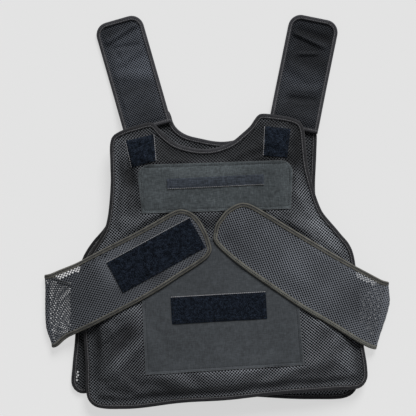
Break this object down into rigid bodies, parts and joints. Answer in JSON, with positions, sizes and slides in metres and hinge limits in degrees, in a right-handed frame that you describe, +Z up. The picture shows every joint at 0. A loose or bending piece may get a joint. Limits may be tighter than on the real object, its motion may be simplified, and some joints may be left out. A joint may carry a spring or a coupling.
{
  "type": "tactical vest",
  "caption": "Padded mesh vest laid flat: bound front and back panels, shoulder straps, folded waist flaps, woven chest and pocket cloths and hook-and-loop strips.",
  "frame": {"origin": "the middle of the vest's bounding box, on the surface that the vest lies on", "axes": "the vest lies on its back: +Z up through the front panel, +Y towards the shoulder straps, +X towards the wearer's left"},
  "size_m": [0.5206, 0.5916, 0.05],
  "materials": {
    "mesh_cloth": "black polyester spacer mesh with a diamond net of round holes, matt",
    "edge_binding": "black woven binding tape, folded over the edge and stitched",
    "flap_binding": "grey woven binding tape with a row of stitches",
    "woven_cloth": "dark grey plain-woven polyester, matt",
    "loop_pile": "blue-black loop tape, fuzzy",
    "hook_tape": "black hook tape, fine rows of hooks"
  },
  "bodies": {
    "root": {"back_panel": "mesh_cloth", "back_panel_binding": "edge_binding", "front_panel": "mesh_cloth", "front_panel_binding": "edge_binding", "chest_panel": "woven_cloth", "chest_strip": "loop_pile", "pocket_panel": "woven_cloth", "pocket_loop_strip": "loop_pile", "shoulder_pad_right": "loop_pile", "shoulder_pad_left": "loop_pile", "shoulder_strap_right": "mesh_cloth", "shoulder_strap_binding_right": "edge_binding", "shoulder_strap_hook_right": "hook_tape", "shoulder_strap_left": "mesh_cloth", "shoulder_strap_binding_left": "edge_binding", "shoulder_strap_hook_left": "hook_tape", "waist_flap_right": "mesh_cloth", "waist_flap_binding_right": "flap_binding", "flap_loop_patch": "loop_pile", "waist_flap_left": "mesh_cloth", "waist_flap_binding_left": "flap_binding", "flap_hook_patch": "hook_tape"}
  },
  "joints": []
}
